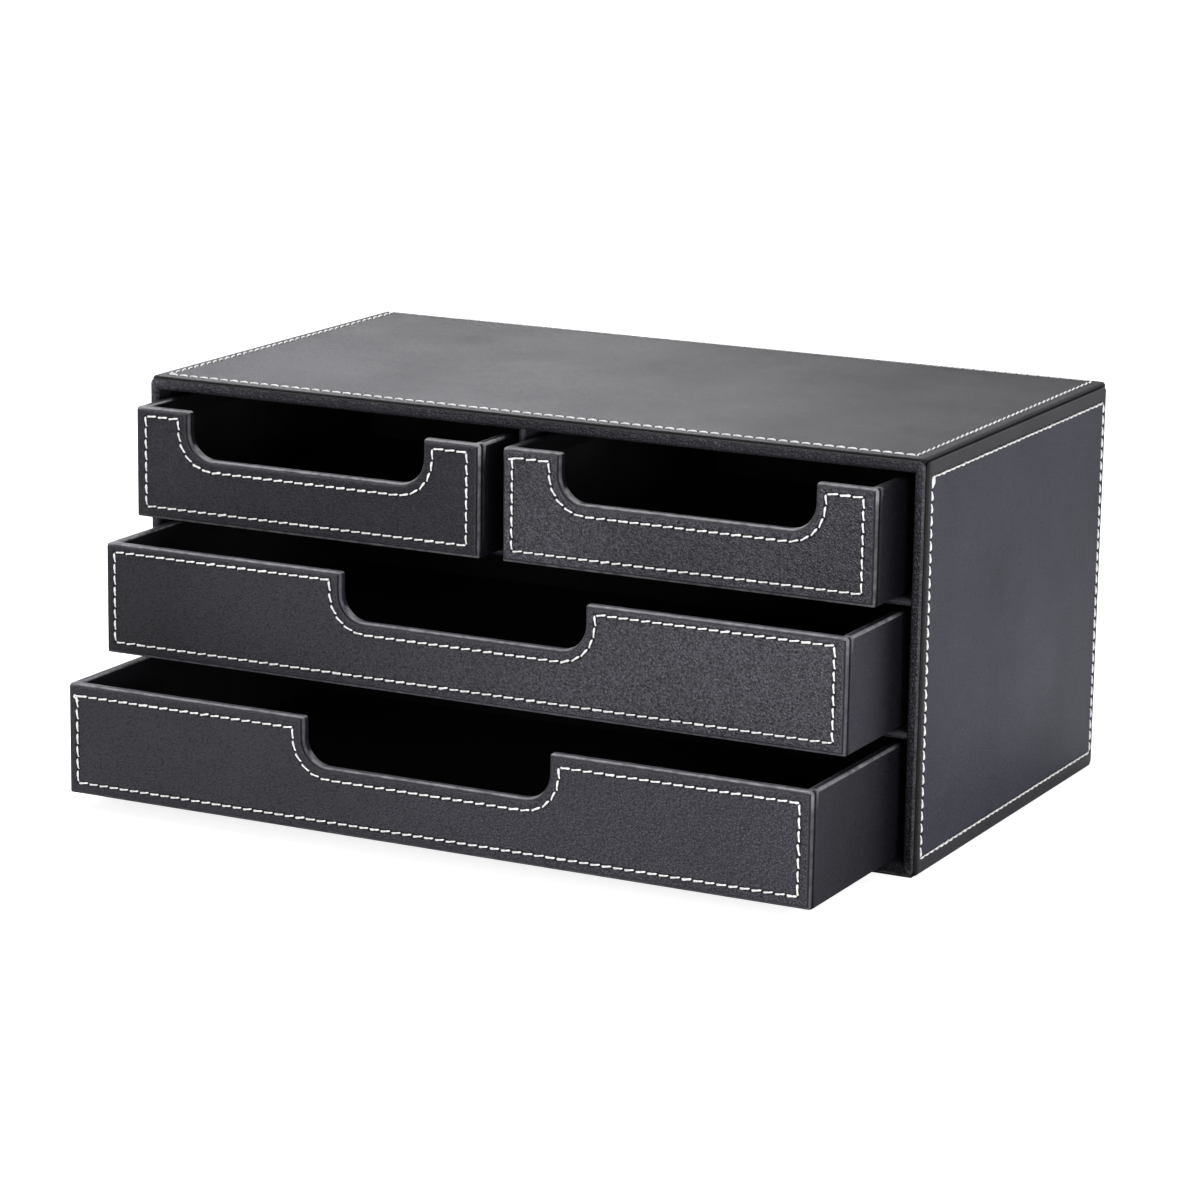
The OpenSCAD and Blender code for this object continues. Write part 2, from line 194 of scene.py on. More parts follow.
def grownNotch(inset):
    # the notch as a panel that stands back by inset sees it
    return {**notchShape, "width": notchShape["width"] + 2 * inset,
            "radius": notchShape["radius"] + inset}


# ---- seams: where each stitch of a border lies on a flat panel

def arcPoints(x, y, radius, start, steps=12):
    # a quarter of a circle
    turns = [start + math.pi / 2 * i / steps for i in range(steps + 1)]
    return [Vector((x + radius * math.cos(t), y + radius * math.sin(t))) for t in turns]


def seamRuns(width, height, seam, notch=None):
    # each run is a line of points from corner to corner, clockwise from the upper left one
    left, right = -width / 2 + seam["left"], width / 2 - seam["right"]
    low, top = -height / 2 + seam["low"], height / 2 - seam["top"]
    corners = [Vector(c) for c in ((left, top), (right, top), (right, low), (left, low))]
    runs = [[corners[i], corners[(i + 1) % 4]] for i in range(4)]
    if notch:
        half = notch["width"] / 2 + seam["base"]
        radius = notch["radius"] + seam["base"]
        arcY = height / 2 - notch["deep"] - seam["base"] + radius
        arcX = half - radius
        dip = [Vector((-half, top)), *arcPoints(-arcX, arcY, radius, math.pi),
               *arcPoints(arcX, arcY, radius, 1.5 * math.pi), Vector((half, top))]
        runs[0:1] = [[corners[0], dip[0]], dip, [dip[-1], corners[1]]]
    return runs


def pointAlong(run, distance):
    for a, b in zip(run, run[1:]):
        step = (b - a).length
        if distance <= step or b is run[-1]:
            return a + (b - a) * (distance / step if step else 0)
        distance -= step


def runLength(run):
    return sum((b - a).length for a, b in zip(run, run[1:]))


def stitchSpots(runs, pitch):
    # (start, end) of every stitch, a whole number of them on each run
    spots = []
    for run in runs:
        length = runLength(run)
        count = max(1, round(length / pitch))
        step = length / count
        spots += [(pointAlong(run, i * step), pointAlong(run, (i + 1) * step))
                  for i in range(count)]
    return spots


# ---- stitched leather panels

panelShape = {
    "edge": 0.45,            # height of the turned edge, in mm
    "hem": ((0.12, 0.75), (0.35, 0.94), (0.7, 1.0), (1.15, 1.0)),  # from the edge, height
    # from the seam, height: end of the hem, channel, quilted field
    "seam": ((-0.85, 0.97), (-0.45, 0.7), (0.3, 0.66), (0.75, 0.87), (1.3, 0.97),
             (2.9, 0.86)),
    "caseRound": 2.0,        # roundness of the case's own edges
    "thinnest": 0.06,        # what is left of the panel there
    "cornerCut": 0.75,       # how far a rounded corner stands back
    "cornerGrow": 0.45,      # and how much of each ring's distance is kept there
    "pitch": 4.7,            # length of a stitch with its gap
    "pucker": 0.14,          # how deep and how far round it a needle hole pulls
    "puckerReach": 0.95,
}


def addBand(piece, distance, height, last):
    # one more ring of the profile inside the selected face, with its distance remembered
    bpy.ops.mesh.inset(thickness=(distance - last[0]) * mm, depth=(height - last[1]) * mm)
    mesh = bmesh.from_edit_mesh(piece.data)
    layer = mesh.verts.layers.float["edgeDistance"]
    for vert in mesh.verts:
        if vert.select:
            vert[layer] = distance
    bmesh.update_edit_mesh(piece.data)
    return distance, height


def roundFall(distance, soft):
    # how far a hem's ring drops where the panel, 1 mm thick, turns over a rounded edge
    r = panelShape["caseRound"]
    reach = max(math.sqrt(r * r - 1) - distance, 0)
    return max(math.sqrt(r * r - reach * reach) - r + 1, panelShape["thinnest"]) - soft


def pullDown(piece, holes):
    # each needle hole pulls the leather down and is remembered; holes are kept by 3 mm cells
    cells = {}
    for hole in holes:
        cells.setdefault((round(hole.x / 3), round(hole.y / 3)), []).append(hole)

    def atHole(vert, m):
        if vert.normal.z < 0.5 or m.z < 0.2:
            return False
        x, y = round(m.x / 3), round(m.y / 3)
        return any((m.xy - hole).length < panelShape["puckerReach"]
                   for i in (-1, 0, 1) for j in (-1, 0, 1)
                   for hole in cells.get((x + i, y + j), ()))

    pick(piece, "VERT", atHole)
    moveBy(0, 0, -panelShape["pucker"])
    mesh = bmesh.from_edit_mesh(piece.data)
    layer = mesh.verts.layers.float.new("needleHole")
    for vert in mesh.verts:
        vert[layer] = float(vert.select)
    bmesh.update_edit_mesh(piece.data)


def layRings(piece, base):
    # the turned edge, the hem, the channel and the field as rings, one inside the other;
    # gives the distance of the last
    shape = panelShape
    mesh = bmesh.from_edit_mesh(piece.data)
    mesh.verts.layers.float.new("edgeDistance")
    bmesh.update_edit_mesh(piece.data)
    bpy.ops.mesh.select_mode(type="FACE")
    selectAll()
    extrudeFaces(0, 0, shape["edge"])
    last = (0, shape["edge"])
    for distance, level in shape["hem"] + tuple((base + d, h) for d, h in shape["seam"]):
        last = addBand(piece, distance, level, last)
    return last[0]


def distanceOf(piece, vert):
    return vert[bmesh.from_edit_mesh(piece.data).verts.layers.float["edgeDistance"]]


def sidesOf(width, height):
    # each side: whether a place lies within a distance of it, and the way outwards
    return {"left": (lambda m, d: m.x < -width / 2 + d, (-1, 0)),
            "right": (lambda m, d: m.x > width / 2 - d, (1, 0)),
            "low": (lambda m, d: m.y < -height / 2 + d, (0, -1)),
            "top": (lambda m, d: m.y > height / 2 - d, (0, 1))}


def moveSeam(piece, sides, seam):
    # the seam's rings are made at the base distance all round; here each side gets its own
    base = seam["base"]
    hemEnd = base + panelShape["seam"][0][0] - 0.05
    for side, (within, way) in sides.items():
        pick(piece, "VERT", lambda v, m: m.z > 0.1 and distanceOf(piece, v) > hemEnd
             and within(m, distanceOf(piece, v) + slack))
        move = base - seam[side]
        moveBy(way[0] * move, way[1] * move, 0)


def cutRuns(piece, width, height, sides, seam, notch, reach):
    # the long runs get a vertex at every needle hole and one between
    reachOf = {side: reach + seam[side] - seam["base"] for side in sides}

    def cutRun(axis, test, length):
        count = max(1, round(length / panelShape["pitch"]))
        for cuts in (count - 1, 1):
            if cuts:
                pick(piece, "EDGE", lambda e, m: runsAlong(e, axis) and test(m))
                bpy.ops.mesh.subdivide(number_cuts=cuts)

    def atSide(side):
        return lambda m: sides[side][0](m, reachOf[side])

    across = width - seam["left"] - seam["right"]
    upwards = height - seam["low"] - seam["top"]
    cutRun(0, atSide("low"), across)
    cutRun(1, atSide("left"), upwards)
    cutRun(1, atSide("right"), upwards)
    if not notch:
        cutRun(0, atSide("top"), across)
        return
    half, floorY = notch["width"] / 2, height / 2 - notch["deep"]
    for end, side in ((-1, "left"), (1, "right")):
        cutRun(0, lambda m: atSide("top")(m) and end * m.x > half,
               width / 2 - seam[side] - half - seam["base"])
    cutRun(0, lambda m: abs(m.x) < half and floorY - reach < m.y < floorY + 0.1,
           2 * (half - notch["radius"]))


def turnOver(piece, width, height, sides, rounded):
    # where the panel turns over a rounded edge of the case; its corners are rounded too
    shape = panelShape
    for side in rounded:
        within = sides[side][0]
        for distance, soft in ((0, shape["edge"]),) + shape["hem"]:
            pick(piece, "VERT", lambda v, m: near(m.z, soft) and within(m, distance + slack)
                 and near(distanceOf(piece, v), distance, 0.001))
            moveBy(0, 0, roundFall(distance, soft))
    for x in (-1, 1):
        for y in (-1, 1):
            for distance in (0,) + tuple(d for d, _ in shape["hem"]):
                pick(piece, "VERT", lambda v, m: near(m.x, x * (width / 2 - distance))
                     and near(m.y, y * (height / 2 - distance)))
                back = max(shape["cornerCut"] + shape["cornerGrow"] * distance - distance, 0)
                moveBy(-x * back, -y * back, 0)


def stitchedPanel(name, width, height, seam, notch=None):
    # seam gives the distance of the seam from each side
    piece = cutOutline(name, width, height, notch)
    sides = sidesOf(width, height)
    reach = layRings(piece, seam["base"]) + 0.1
    moveSeam(piece, sides, seam)
    cutRuns(piece, width, height, sides, seam, notch, reach)
    if "rounded" in seam:
        turnOver(piece, width, height, sides, seam["rounded"])
    spots = stitchSpots(seamRuns(width, height, seam, notch), panelShape["pitch"])
    pullDown(piece, [start for start, _ in spots])
    mergeDoubles(0.005)
    bpy.ops.mesh.normals_make_consistent(inside=False)
    endEdit()
    return piece, spots


# ---- thread: one stitch, copied along every seam

threadShape = {
    "thick": 0.93, "flat": 0.62, "length": 4.0, "twist": 200, "sink": 0.38,
    # position along the stitch, thickness there, height of its middle
    "stations": ((-0.5, 0.34, -1.0), (-0.45, 0.66, -0.45), (-0.36, 0.92, -0.05),
                 (-0.12, 1.0, 0.05), (0.12, 1.0, 0.05), (0.36, 0.92, -0.05),
                 (0.45, 0.66, -0.45), (0.5, 0.34, -1.0)),
    # how stitches differ, and the share of them that stand out thicker and askew
    "lean": 6.0, "leanSpread": 3, "lengths": (0.95, 1.04), "widths": (0.9, 1.08),
    "odd": 0.12, "oddWidths": (1.12, 1.3),
}


def makeStitch():
    # a twisted two-ply strand whose ends dive into the leather
    shape = threadShape
    makeActive(None)
    bpy.ops.mesh.primitive_circle_add(vertices=8, radius=0.5 * mm, fill_type="NGON",
                                      rotation=(0, math.pi / 2, 0))
    stitch = bpy.context.object
    stitch.name = stitch.data.name = "stitch"
    bpy.ops.object.transform_apply(location=False, rotation=True, scale=False)
    startEdit(stitch)
    selectAll()
    bpy.ops.transform.resize(value=(1, 1, shape["flat"]), center_override=(0, 0, 0))
    bpy.ops.mesh.select_mode(type="FACE")
    selectAll()
    at = shape["stations"][0]
    bpy.ops.transform.resize(value=(1, at[1], at[1]), center_override=(0, 0, 0))
    moveBy(at[0] * shape["length"], 0, at[2] * 0.5)
    for spot in shape["stations"][1:]:
        extrudeFaces((spot[0] - at[0]) * shape["length"], 0, (spot[2] - at[2]) * 0.5)
        middle = (spot[0] * shape["length"] * mm, 0, spot[2] * 0.5 * mm)
        ratio = spot[1] / at[1]
        bpy.ops.transform.resize(value=(1, ratio, ratio), center_override=middle)
        bpy.ops.transform.rotate(value=math.radians(shape["twist"]) * (spot[0] - at[0]),
                                 orient_axis="X", center_override=middle)
        at = spot
    selectAll()
    bpy.ops.transform.resize(value=(1, shape["thick"], shape["thick"]),
                             center_override=(0, 0, 0))
    bpy.ops.mesh.normals_make_consistent(inside=False)
    endEdit()
    makeActive(stitch)
    bpy.ops.object.shade_smooth()
    return stitch


def sewSeam(name, stitch, spots, level):
    # level is the height of the channel's bottom over the panel's underside, in mm
    shape = threadShape
    spread = shape["leanSpread"]
    copies = []
    for start, end in spots:
        way = end - start
        middle = (start + end) / 2
        odd = chance.random() < shape["odd"]
        lean = shape["lean"] + chance.uniform(-spread, spread) * (2 if odd else 1)
        stretch = way.length / panelShape["pitch"] * chance.uniform(*shape["lengths"])
        width = chance.uniform(*shape["oddWidths" if odd else "widths"])
        thick = chance.uniform(*shape["widths"])
        copy = bpy.data.objects.new(name, stitch.data.copy())
        copy.data.transform(
            Matrix.Translation((middle.x * mm, middle.y * mm, (level + shape["sink"]) * mm))
            @ Matrix.Rotation(math.atan2(way.y, way.x) + math.radians(lean), 4, "Z")
            @ Matrix.Diagonal((stretch, width, thick, 1)))
        bpy.context.scene.collection.objects.link(copy)
        copies.append(copy)
    makeActive(copies[0])
    for copy in copies:
        copy.select_set(True)
    bpy.ops.object.join()
    seam = bpy.context.object
    seam.name = seam.data.name = name
    return seam


# ---- camera, floor, world and lamps

cameraSetup = {"place": (0.760721, -1.529582, 0.463240), "azimuth": 26.8234,
               "elevation": 13.0144, "roll": 0.8617, "lens": 129.457, "sensor": 36,
               "farthest": 50}


def makeCamera():
    setup = cameraSetup
    makeActive(None)
    bpy.ops.object.camera_add(location=setup["place"])
    camera = bpy.context.object
    camera.name = "camera"
    turn = Euler((math.pi / 2 - math.radians(setup["elevation"]), 0,
                  math.radians(setup["azimuth"]))).to_matrix()
    roll = Matrix.Rotation(math.radians(setup["roll"]), 3, "Z")
    camera.rotation_euler = (turn @ roll).to_euler()
    camera.data.lens = setup["lens"]
    camera.data.sensor_width = setup["sensor"]
    camera.data.clip_end = setup["farthest"]
    bpy.context.scene.camera = camera


lightSetup = {
    "world": 0.25, "aim": (0, 0, 0.08),
    # name, place, size, power
    "lamps": (("overhead", (-0.5, 0, 1.2), (0.8, 0.8), 18),
              ("frontLow", (0.35, -1.9, 0.3), (0.6, 0.5), 10.6),
              ("rightNear", (0.85, -0.7, 0.2), (0.3, 0.3), 6.3),
              ("rearRight", (1.5, 1.5, 0.9), (1.2, 1.0), 6),
              ("rearLow", (-1.2, 1.7, 0.7), (0.8, 0.6), 3.4),
              ("rearNear", (-0.3, 0.6, 0.45), (0.3, 0.3), 0.57)),
    "floor": 0.8, "glow": 0.8,
}


def makeStage():
    setup = lightSetup
    bpy.context.scene.view_settings.view_transform = "Standard"
    world = bpy.data.worlds.new("studio")
    bpy.context.scene.world = world
    world.use_nodes = True
    tree = world.node_tree
    path = addNode(tree, "LightPath").outputs
    seen = addMath(tree, "MAXIMUM", path["Is Camera Ray"], path["Is Glossy Ray"])
    seen = addMath(tree, "MAXIMUM", seen, path["Is Transmission Ray"])
    setInputs(tree, tree.nodes["Background"], {
        "Color": (1, 1, 1, 1), "Strength": addRange(tree, seen, 0, 1, setup["world"], 1)})

    for name, place, size, power in setup["lamps"]:
        makeActive(None)
        bpy.ops.object.light_add(type="AREA", location=place)
        lamp = bpy.context.object
        lamp.name = name
        lamp.data.shape = "RECTANGLE"
        lamp.data.size, lamp.data.size_y = size
        lamp.data.energy = power
        aim = Vector(setup["aim"]) - Vector(place)
        lamp.rotation_euler = aim.to_track_quat("-Z", "Y").to_euler()

    floor = startPlane("floor", 12000, 12000)
    putInPlace(floor, (0, 0, -0.0002))
    material, tree, shader = newMaterial("paleFloor")
    seen = addNode(tree, "LightPath").outputs["Is Camera Ray"]
    setInputs(tree, shader, {
        "Base Color": (*(setup["floor"],) * 3, 1), "Roughness": 0.9,
        "Specular IOR Level": 0.1, "Emission Color": (1, 1, 1, 1),
        "Emission Strength": addRange(tree, seen, 0, 1, 0, setup["glow"])})
    floor.data.materials.append(material)


# ---- node helpers

def setInputs(tree, node, values):
    # a number or colour is written on its socket, anything else is linked to it
    for label, value in values.items():
        if isinstance(value, (int, float, tuple)):
            node.inputs[label].default_value = value
        else:
            tree.links.new(value, node.inputs[label])


def addNode(tree, kind, inputs={}, **settings):
    node = tree.nodes.new("ShaderNode" + kind)
    for label, value in settings.items():
        setattr(node, label, value)
    setInputs(tree, node, inputs)
    return node


def addMath(tree, operation, *values):
    return addNode(tree, "Math", dict(enumerate(values)), operation=operation).outputs[0]


def multiply(tree, a, b):
    return addMath(tree, "MULTIPLY", a, b)


def addVectorMath(tree, operation, a, b):
    second = "Scale" if operation == "SCALE" else 1
    return addNode(tree, "VectorMath", {0: a, second: b}, operation=operation).outputs[0]


def addMix(tree, factor, a, b, blend="MIX"):
    return addNode(tree, "Mix", {0: factor, 6: a, 7: b}, data_type="RGBA",
                   blend_type=blend).outputs[2]


def addRange(tree, value, low, high, toLow=0.0, toHigh=1.0):
    return addNode(tree, "MapRange", {"Value": value, "From Min": low, "From Max": high,
                                      "To Min": toLow, "To Max": toHigh}).outputs[0]


def objectPlace(tree):
    return addNode(tree, "TexCoord").outputs["Object"]


def addNoise(tree, scale, detail, more={}):
    return addNode(tree, "TexNoise", {"Vector": objectPlace(tree), "Scale": scale,
                                      "Detail": detail, **more}).outputs["Fac"]


def addAttribute(tree, name):
    return addNode(tree, "Attribute", attribute_name=name).outputs["Fac"]


def addShade(tree, *fades):
    # how the tone changes across a piece; each fade has an axis, two places in metres and
    # the tone at each of them
    place = addNode(tree, "SeparateXYZ", {0: objectPlace(tree)}).outputs
    shade = 1.0
    for axis, *span in fades:
        shade = multiply(tree, addRange(tree, place[axis], *span), shade)
    return shade


def newGroup(name, inputs, outputs):
    # inputs have their usual values; gives the group, its inputs and its output node
    group = bpy.data.node_groups.new(name, "ShaderNodeTree")
    for label, value in inputs.items():
        group.interface.new_socket(label, in_out="INPUT",
                                   socket_type="NodeSocketFloat").default_value = value
    for label in outputs:
        group.interface.new_socket(label, in_out="OUTPUT", socket_type="NodeSocketFloat")
    return group, group.nodes.new("NodeGroupInput").outputs, group.nodes.new("NodeGroupOutput")


def useGroup(tree, name, values):
    return addNode(tree, "Group", values, node_tree=bpy.data.node_groups[name]).outputs


def newMaterial(name):
    material = bpy.data.materials.new(name)
    material.use_nodes = True
    tree = material.node_tree
    return material, tree, tree.nodes["Principled BSDF"]


def finishShader(tree, shader, colour, roughness, specular, bump):
    # bump is a height, its strength and its depth in millimetres
    height, strength, depth = bump
    relief = addNode(tree, "Bump", {"Height": height, "Strength": strength,
                                    "Distance": depth * mm})
    setInputs(tree, shader, {"Base Color": colour, "Roughness": roughness,
                             "Specular IOR Level": specular,
                             "Normal": relief.outputs["Normal"]})


# ---- effects that several leathers share

grainShape = {"warpScale": 420, "creaseWidth": 0.22, "poreHeight": 0.8, "waveScale": 90,
              "mottleScale": 14, "fleckTurn": 42, "fleckLength": 2.4}


def leatherGrainGroup():
    # pebbled grain of imitation leather: cells, fine pores and slow waves, as a height
    shape = grainShape
    group, given, result = newGroup(
        "leatherGrain", {"Cells": 1000.0, "Pores": 2600.0, "Flecks": 2400.0,
                         "Unevenness": 0.5, "Warp": 0.4},
        ("Height", "Creases", "Mottle", "Fleck"))
    place = objectPlace(group)
    warp = addNode(group, "TexNoise", {"Vector": place, "Scale": shape["warpScale"]})
    centred = addVectorMath(group, "SUBTRACT", warp.outputs["Color"], (0.5, 0.5, 0.5))
    shift = addVectorMath(group, "SCALE", centred, multiply(group, given["Warp"], mm))
    cells = addNode(group, "TexVoronoi", {"Vector": addVectorMath(group, "ADD", place, shift),
                                          "Scale": given["Cells"]},
                    feature="DISTANCE_TO_EDGE")
    crease = addRange(group, cells.outputs["Distance"], 0.0, shape["creaseWidth"])
    pores = multiply(group, addNoise(group, given["Pores"], 3), shape["poreHeight"])
    waves = multiply(group, addNoise(group, shape["waveScale"], 2), given["Unevenness"])
    height = addMath(group, "ADD", addMath(group, "ADD", crease, pores), waves)
    # short slanting flecks, light and dark, that the embossing leaves
    slanted = addNode(group, "Mapping", {
        "Vector": place, "Rotation": (0, math.radians(shape["fleckTurn"]), 0),
        "Scale": (shape["fleckLength"], 1, 1)}, vector_type="TEXTURE")
    fleck = addNode(group, "TexNoise", {"Vector": slanted.outputs[0], "Scale": given["Flecks"],
                                        "Detail": 2})
    setInputs(group, result, {
        "Height": height, "Creases": crease,
        "Mottle": addNoise(group, shape["mottleScale"], 4, {"Roughness": 0.6}),
        "Fleck": addRange(group, fleck.outputs["Fac"], 0.3, 0.7, -1.0, 1.0)})


# places in millimetres from the seam, or from the panel's edge for the painted shade under it;
# the channel and the needle holes get painted shade too, and the edge's rub a painted highlight
seamWearAndLight = {"channel": (1.0, 0.3), "hole": (1.4, 0.8), "hem": (-0.4, 0.6),
            "undersideShade": (0.85, 0.15), "rubAndHighlightTo": 0.3}


def seamWearAndLightGroup():
    # edges rubbed lighter with a painted highlight, painted shade in the seam's channel and its
    # needle holes, the hem beside it and painted shade under the edge, from the distance to the
    # panel's edge
    wearAndLight = seamWearAndLight
    group, given, result = newGroup("seamWearAndLight", {"Seam": 3.6, "RubAndHighlightReach": 0.9},
                                    ("RubAndHighlight", "ChannelShade", "HoleShade", "Hem", "UndersideShade"))
    distance = addAttribute(group, "edgeDistance")
    past = addMath(group, "SUBTRACT", given["Seam"], distance)
    away = addMath(group, "ABSOLUTE", past)
    edge = addRange(group, distance, given["RubAndHighlightReach"], wearAndLight["rubAndHighlightTo"])
    patchy = addRange(group, addNoise(group, 260, 3), 0.35, 0.65, 0.35, 1.0)
    hole = addRange(group, addAttribute(group, "needleHole"), 0.45, 0.7)
    setInputs(group, result, {
        "RubAndHighlight": multiply(group, edge, patchy),
        "ChannelShade": addRange(group, away, *wearAndLight["channel"]),
        "HoleShade": multiply(group, addRange(group, away, *wearAndLight["hole"]), hole),
        "Hem": addRange(group, past, *wearAndLight["hem"]),
        "UndersideShade": addRange(group, distance, *wearAndLight["undersideShade"])})


def wrapWearAndLightGroup():
    # what a wrap remembers of its shape: folds rubbed lighter with a painted highlight, and
    # painted shade on leather tucked in out of the light
    group, given, result = newGroup("wrapWearAndLight", {"Amount": 0.5}, ("RubAndHighlight", "DeepShade"))
    patchy = addRange(group, addNoise(group, 300, 3), 0.35, 0.65, 0.4, 1.0)
    rubAndHighlight = multiply(group, addAttribute(group, "wearAndLight"), given["Amount"])
    setInputs(group, result, {"RubAndHighlight": multiply(group, rubAndHighlight, patchy),
                              "DeepShade": addAttribute(group, "deepShade")})


# ---- materials

# painted shade: the channel's colour, the darkest colour for needle holes, the dark under edges
# and tucked-in leather, and the low end of the crease range; the rubbed colour is rubbed wear
# with a painted highlight, and the crease range's high end a painted highlight on the grain's
# tops
leatherLook = {
    "dark": (0.025, 0.025, 0.0295), "light": (0.033, 0.033, 0.04),
    "channel": (0.009, 0.009, 0.0105), "rubAndHighlight": (0.2, 0.2, 0.212, 1),
    "deepShade": (0.003, 0.003, 0.0035, 1), "sheen": (0.87, 0.85, 1, 1),
    "roughness": (0.53, 0.45), "creaseShadeAndHighlight": (0.3, 1.2), "channelShade": 0.7, "edgeRubAndHighlight": 0.3,
}


def leatherMaterial(name, bump, tone=1.0, green=1.0, blue=1.0, specular=0.3, flecks=0.1,
                    fades=(), seam=None, hem=1.0, rubAndHighlightAmount=None, rubAndHighlightFade=None, scales={}):
    # bump: the grain's strength and depth; tone: its brightness; flecks: how strong, or a fade
    # where their strength follows how light rakes the grain; fades: painted light and shade, as
    # the tone changing across the piece; seam: how far a stitched panel's seam lies from its
    # edge, and hem: its tone beside the field; the rub amount and its fade: how much rubbed
    # wear and painted highlight a wrap gets, from attributes of its own beside those for
    # painted shade, and where that ends; scales: other sizes of the grain
    look = leatherLook
    material, tree, shader = newMaterial(name)
    surface = useGroup(tree, "leatherGrain", scales)

    def tinted(label):
        red, greenPart, bluePart = look[label]
        return red * tone, greenPart * tone * green, bluePart * tone * blue, 1

    colour = addMix(tree, addRange(tree, surface["Mottle"], 0.3, 0.7),
                    tinted("dark"), tinted("light"))
    if isinstance(flecks, tuple):
        flecks = addShade(tree, flecks)
    fleck = addMath(tree, "ADD", multiply(tree, surface["Fleck"], flecks), 1.0)
    # painted shade in the grain's creases and a painted highlight on its tops, with painted
    # light and shade across the piece
    creaseShadeAndHighlight = addRange(tree, surface["Creases"], 0.0, 1.0, *look["creaseShadeAndHighlight"])
    faded = addShade(tree, *fades) if fades else 1.0
    shade = multiply(tree, multiply(tree, creaseShadeAndHighlight, fleck), faded)
    colour = addVectorMath(tree, "SCALE", colour, shade)
    roughness = addRange(tree, surface["Mottle"], 0.3, 0.7, *look["roughness"])
    # painted shade in the channel, the needle holes and under the edge, and a painted highlight
    # with the edge's rub
    if seam is not None:
        wearAndLight = useGroup(tree, "seamWearAndLight", {"Seam": seam})
        colour = addMix(tree, wearAndLight["Hem"], colour, (hem, hem, hem / blue, 1), "MULTIPLY")
        channel = multiply(tree, wearAndLight["ChannelShade"], look["channelShade"])
        colour = addMix(tree, channel, colour, tinted("channel"))
        colour = addMix(tree, wearAndLight["HoleShade"], colour, look["deepShade"])
        rubAndHighlight = multiply(tree, multiply(tree, wearAndLight["RubAndHighlight"], look["edgeRubAndHighlight"]), faded)
        colour = addMix(tree, rubAndHighlight, colour, look["rubAndHighlight"])
        colour = addMix(tree, wearAndLight["UndersideShade"], colour, look["deepShade"])
    # a painted highlight with a wrap's rub, ending where it goes into the case's shade, and
    # painted shade where the leather is tucked in
    if rubAndHighlightAmount is not None:
        wearAndLight = useGroup(tree, "wrapWearAndLight", {"Amount": rubAndHighlightAmount})
        rubAndHighlight = wearAndLight["RubAndHighlight"]
        if rubAndHighlightFade:
            rubAndHighlight = multiply(tree, rubAndHighlight, addShade(tree, rubAndHighlightFade))
        colour = addMix(tree, rubAndHighlight, colour, look["rubAndHighlight"])
        colour = addMix(tree, wearAndLight["DeepShade"], colour, look["deepShade"])
        roughness = addMath(tree, "MAXIMUM", roughness, wearAndLight["DeepShade"])
    if fades:
        specular = addMath(tree, "MINIMUM", specular, multiply(tree, faded, specular))
    shader.inputs["Specular Tint"].default_value = look["sheen"]
    finishShader(tree, shader, colour, roughness, specular, (surface["Height"], *bump))
    return material


flockLook = {"fibres": 2600, "brushing": 22, "dark": (0.002, 0.002, 0.0022, 1),
             "light": (0.007, 0.007, 0.0076, 1), "roughness": (1.0, 0.85), "specular": 0.08,
             "bump": (0.6, 0.3)}


def flockMaterial():
    look = flockLook
    material, tree, shader = newMaterial("flockLining")
    fibres = addNoise(tree, look["fibres"], 4)
    nap = multiply(tree, fibres, addNoise(tree, look["brushing"], 5))
    colour = addMix(tree, addRange(tree, nap, 0.12, 0.4), look["dark"], look["light"])
    roughness = addRange(tree, nap, 0.1, 0.4, *look["roughness"])
    finishShader(tree, shader, colour, roughness, look["specular"], (fibres, *look["bump"]))
    return material


threadLook = {"fibres": 3800, "soil": 130, "soiled": (0.84, 0.84, 0.83, 1),
              "clean": (0.97, 0.97, 0.96, 1), "grooves": (0.74, 0.74, 0.74, 1),
              "roughness": (0.75, 0.5), "specular": 0.35, "bump": (0.5, 0.12)}


def threadMaterial():
    look = threadLook
    material, tree, shader = newMaterial("waxedThread")
    fibres = addNoise(tree, look["fibres"], 3)
    soil = addRange(tree, addNoise(tree, look["soil"], 2), 0.3, 0.7)
    colour = addMix(tree, soil, look["soiled"], look["clean"])
    colour = addMix(tree, addRange(tree, fibres, 0.35, 0.65), look["grooves"], colour)
    roughness = addRange(tree, fibres, 0.3, 0.7, *look["roughness"])
    finishShader(tree, shader, colour, roughness, look["specular"], (fibres, *look["bump"]))
    return material


boardLook = {"fibres": 700, "patches": 30, "dark": (0.06, 0.055, 0.05, 1),
             "light": (0.14, 0.13, 0.12, 1), "patch": (0.08, 0.074, 0.068, 1),
             "paint": (0.004, 0.004, 0.004, 1), "paintFrom": (0.1655, 0.166),
             "roughness": (0.9, 0.7), "specular": 0.2, "bump": (0.4, 0.2)}


def boardMaterial():
    look = boardLook
    material, tree, shader = newMaterial("fibreboard")
    fibres = addNoise(tree, look["fibres"], 6)
    patches = addRange(tree, addNoise(tree, look["patches"], 2), 0.35, 0.65)
    colour = addMix(tree, addRange(tree, fibres, 0.3, 0.7), look["dark"], look["light"])
    colour = addMix(tree, patches, look["patch"], colour)
    # the outer faces of the case's boards are painted black, for they show in the grooves
    place = addNode(tree, "SeparateXYZ", {0: objectPlace(tree)}).outputs
    outside = addRange(tree, addMath(tree, "ABSOLUTE", place["X"]), *look["paintFrom"])
    colour = addMix(tree, outside, colour, look["paint"])
    roughness = addRange(tree, fibres, 0.3, 0.7, *look["roughness"])
    finishShader(tree, shader, colour, roughness, look["specular"], (fibres, *look["bump"]))
    return material


feltLook = {"fibres": 1100, "dark": (0.006, 0.006, 0.006, 1), "light": (0.022, 0.022, 0.023, 1),
            "roughness": (1.0, 0.85), "specular": 0.1, "bump": (0.7, 0.4)}


